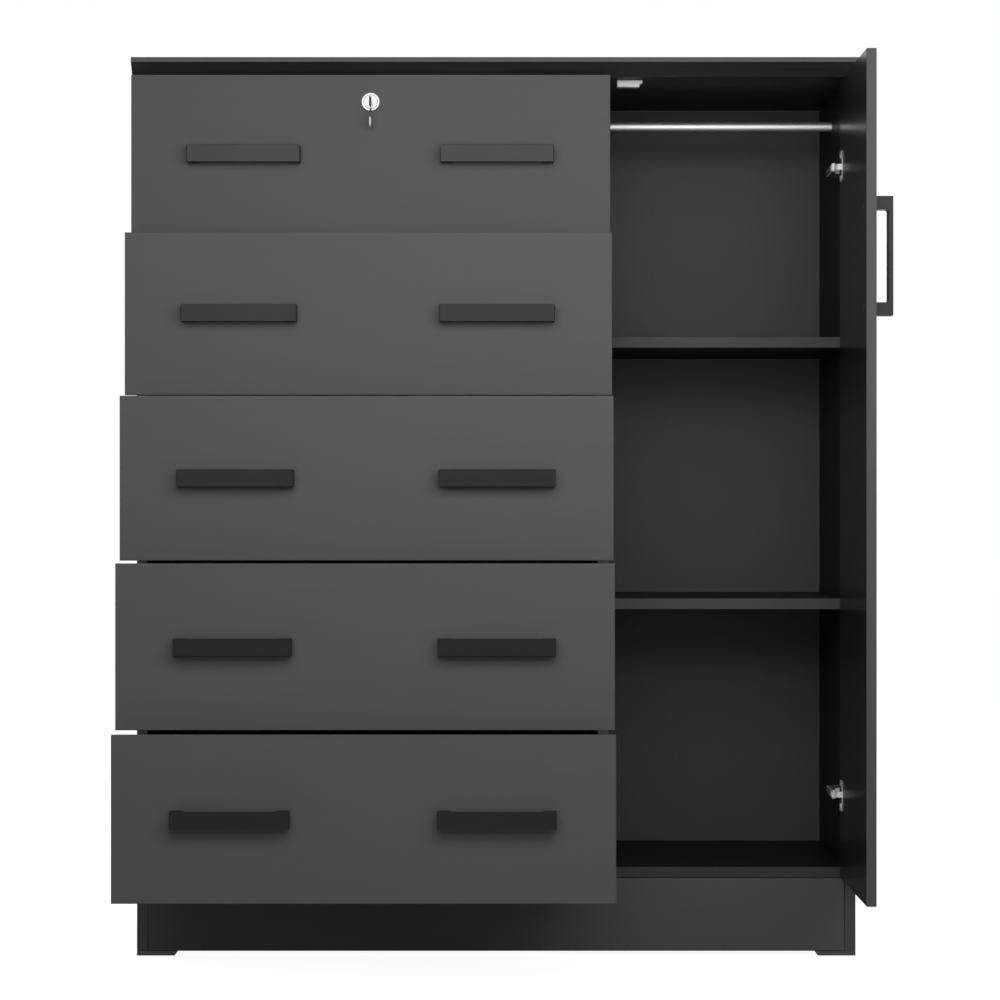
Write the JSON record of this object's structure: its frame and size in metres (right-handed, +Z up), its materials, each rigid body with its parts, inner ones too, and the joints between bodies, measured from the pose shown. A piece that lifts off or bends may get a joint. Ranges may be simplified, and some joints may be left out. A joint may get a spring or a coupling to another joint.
{
  "type": "chifforobe",
  "caption": "Wardrobe chest in dark laminate: drawers on telescopic slides and a key lock on the left, a hanging space with shelves behind a hinged door on the right.",
  "frame": {"origin": "on the floor, under the middle of the bounding box of the piece as it is posed in the picture, drawers and door open", "axes": "+Z up, -Y towards the front, where drawers pull out; +X towards the hanging cupboard, the viewer's right"},
  "size_m": [0.998, 0.7114, 1.22],
  "materials": {
    "laminate": "charcoal laminated chipboard, fine horizontal grain, semi-matt",
    "interior": "charcoal laminated chipboard and thin fibreboard, matt",
    "handle": "satin black coated bow handle",
    "steel": "zinc-plated pressed steel",
    "chrome": "bright chrome plate",
    "black": "moulded, matt",
    "white": "moulded, matt"
  },
  "bodies": {
    "cabinet": {"top_panel": "laminate", "side_panel_left": "laminate", "side_panel_right": "laminate", "divider_panel": "interior", "bottom_panel": "interior", "plinth_front": "laminate", "back_panel": "interior", "hanging_rod": "chrome", "shelf_upper": "interior", "shelf_lower": "interior", "door_catch": "white", "foot_front_left": "black", "foot_front_right": "black", "foot_rear_left": "black", "foot_rear_right": "black"},
    "door": {"door_panel": "laminate", "door_handle": "handle", "hinge_cup_upper": "steel", "hinge_cup_lower": "steel"},
    "hinge_links": {"hinge_link_upper": "steel", "hinge_link_lower": "steel"},
    "drawer_1": {"drawer_1_front": "laminate", "drawer_1_box": "interior", "drawer_1_bottom": "interior", "drawer_1_handle_left": "handle", "drawer_1_handle_right": "handle", "lock_body": "chrome"},
    "runners_1": {"drawer_1_runner_left": "steel", "drawer_1_runner_right": "steel"},
    "drawer_2": {"drawer_2_front": "laminate", "drawer_2_box": "interior", "drawer_2_bottom": "interior", "drawer_2_handle_left": "handle", "drawer_2_handle_right": "handle"},
    "runners_2": {"drawer_2_runner_left": "steel", "drawer_2_runner_right": "steel"},
    "drawer_3": {"drawer_3_front": "laminate", "drawer_3_box": "interior", "drawer_3_bottom": "interior", "drawer_3_handle_left": "handle", "drawer_3_handle_right": "handle"},
    "runners_3": {"drawer_3_runner_left": "steel", "drawer_3_runner_right": "steel"},
    "drawer_4": {"drawer_4_front": "laminate", "drawer_4_box": "interior", "drawer_4_bottom": "interior", "drawer_4_handle_left": "handle", "drawer_4_handle_right": "handle"},
    "runners_4": {"drawer_4_runner_left": "steel", "drawer_4_runner_right": "steel"},
    "drawer_5": {"drawer_5_front": "laminate", "drawer_5_box": "interior", "drawer_5_bottom": "interior", "drawer_5_handle_left": "handle", "drawer_5_handle_right": "handle"},
    "runners_5": {"drawer_5_runner_left": "steel", "drawer_5_runner_right": "steel"},
    "lock": {"lock_plug": "steel"},
    "key": {"key": "steel"},
    "key_bow": {"key_head": "chrome"}
  },
  "joints": [
    {"name": "door_swing", "type": "hinge", "parent": "cabinet", "child": "door", "pos_m": [0.4765, -0.03005, 0.65], "axis": [0, 0, 1], "range_deg": [-90, 15]},
    {"name": "hinge_links_swing", "type": "hinge", "parent": "cabinet", "child": "hinge_links", "pos_m": [0.454, -0.02205, 0.65], "axis": [0, 0, 1], "range_deg": [-6, 36]},
    {"name": "drawer_1_slide", "type": "slide", "parent": "cabinet", "child": "drawer_1", "axis": [0, -1, 0], "range_m": [-0.056, 0.284]},
    {"name": "runners_1_slide", "type": "slide", "parent": "cabinet", "child": "runners_1", "axis": [0, -1, 0], "range_m": [-0.028, 0.142]},
    {"name": "drawer_2_slide", "type": "slide", "parent": "cabinet", "child": "drawer_2", "axis": [0, -1, 0], "range_m": [-0.134, 0.206]},
    {"name": "runners_2_slide", "type": "slide", "parent": "cabinet", "child": "runners_2", "axis": [0, -1, 0], "range_m": [-0.067, 0.103]},
    {"name": "drawer_3_slide", "type": "slide", "parent": "cabinet", "child": "drawer_3", "axis": [0, -1, 0], "range_m": [-0.1945, 0.1455]},
    {"name": "runners_3_slide", "type": "slide", "parent": "cabinet", "child": "runners_3", "axis": [0, -1, 0], "range_m": [-0.09725, 0.07275]},
    {"name": "drawer_4_slide", "type": "slide", "parent": "cabinet", "child": "drawer_4", "axis": [0, -1, 0], "range_m": [-0.245, 0.095]},
    {"name": "runners_4_slide", "type": "slide", "parent": "cabinet", "child": "runners_4", "axis": [0, -1, 0], "range_m": [-0.1225, 0.0475]},
    {"name": "drawer_5_slide", "type": "slide", "parent": "cabinet", "child": "drawer_5", "axis": [0, -1, 0], "range_m": [-0.294, 0.046]},
    {"name": "runners_5_slide", "type": "slide", "parent": "cabinet", "child": "runners_5", "axis": [0, -1, 0], "range_m": [-0.147, 0.023]},
    {"name": "lock_turn", "type": "hinge", "parent": "drawer_1", "child": "lock", "pos_m": [-0.1741, -0.08555, 1.1565], "axis": [0, 1, 0], "range_deg": [0, 90]},
    {"name": "key_pull", "type": "slide", "parent": "lock", "child": "key", "axis": [0, -1, 0], "range_m": [0, 0.03]},
    {"name": "key_bow_fold", "type": "hinge", "parent": "key", "child": "key_bow", "pos_m": [-0.1741, -0.10045, 1.1565], "axis": [-1, 0, 0], "range_deg": [0, 90]}
  ],
  "couplings": [
    {"joint": "hinge_links_swing", "follows": "door_swing", "ratio": -0.4},
    {"joint": "runners_1_slide", "follows": "drawer_1_slide", "ratio": 0.5},
    {"joint": "runners_2_slide", "follows": "drawer_2_slide", "ratio": 0.5},
    {"joint": "runners_3_slide", "follows": "drawer_3_slide", "ratio": 0.5},
    {"joint": "runners_4_slide", "follows": "drawer_4_slide", "ratio": 0.5},
    {"joint": "runners_5_slide", "follows": "drawer_5_slide", "ratio": 0.5}
  ]
}
